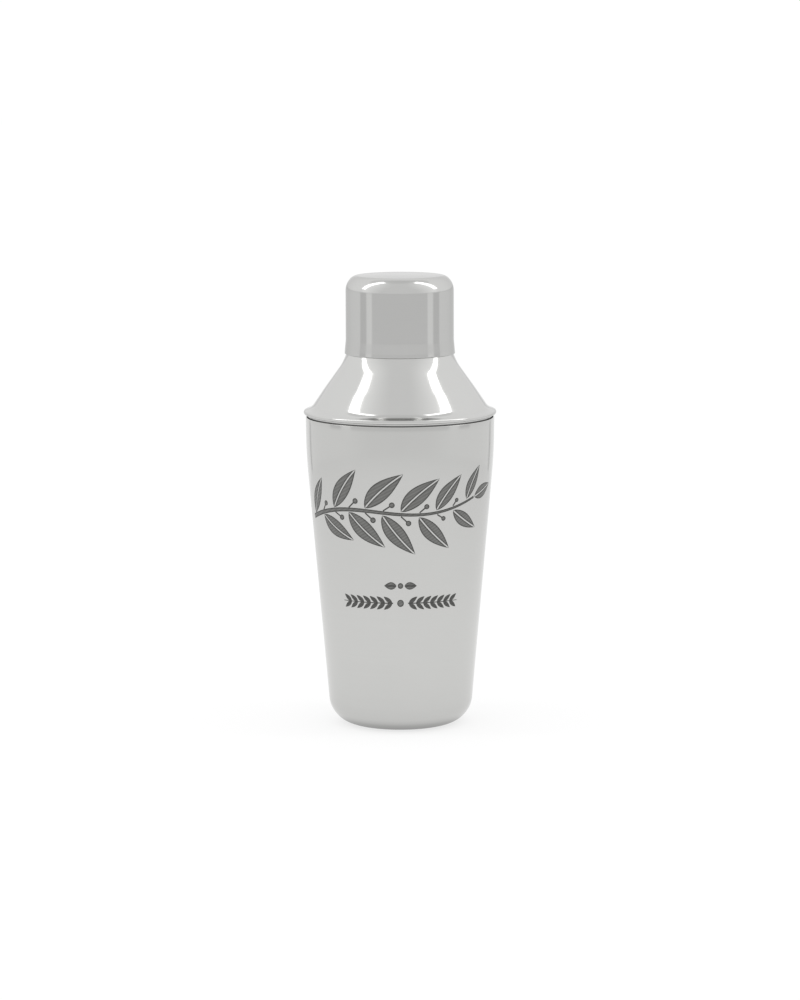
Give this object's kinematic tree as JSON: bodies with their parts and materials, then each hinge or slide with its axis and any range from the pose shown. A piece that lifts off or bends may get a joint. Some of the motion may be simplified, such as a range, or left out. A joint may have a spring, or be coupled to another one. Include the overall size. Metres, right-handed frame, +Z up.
{
  "type": "shaker",
  "caption": "Polished steel shaker: a tapered mixing cup with a rounded base, a shouldered strainer top that plugs into its mouth, and a push-on cap over the strainer's neck.",
  "frame": {"origin": "centre of the cup's foot, on the surface that it stands on", "axes": "+Z up along the axis that every piece is turned about; +X and +Y are alike, and the picture looks along +Y"},
  "size_m": [0.0766, 0.0766, 0.1796],
  "materials": {
    "cup_steel": "satin polished outside and inside",
    "strainer_steel": "bright polished",
    "cap_steel": "bright polished"
  },
  "bodies": {
    "cup": {"mixing_cup": "cup_steel"},
    "strainer": {"strainer_top": "strainer_steel"},
    "cap": {"cap": "cap_steel"}
  },
  "joints": [
    {"name": "strainer_lift", "type": "slide", "parent": "cup", "child": "strainer", "axis": [0, 0, 1], "range_m": [0, 0.1]},
    {"name": "cap_lift", "type": "slide", "parent": "strainer", "child": "cap", "axis": [0, 0, 1], "range_m": [0, 0.06]}
  ]
}
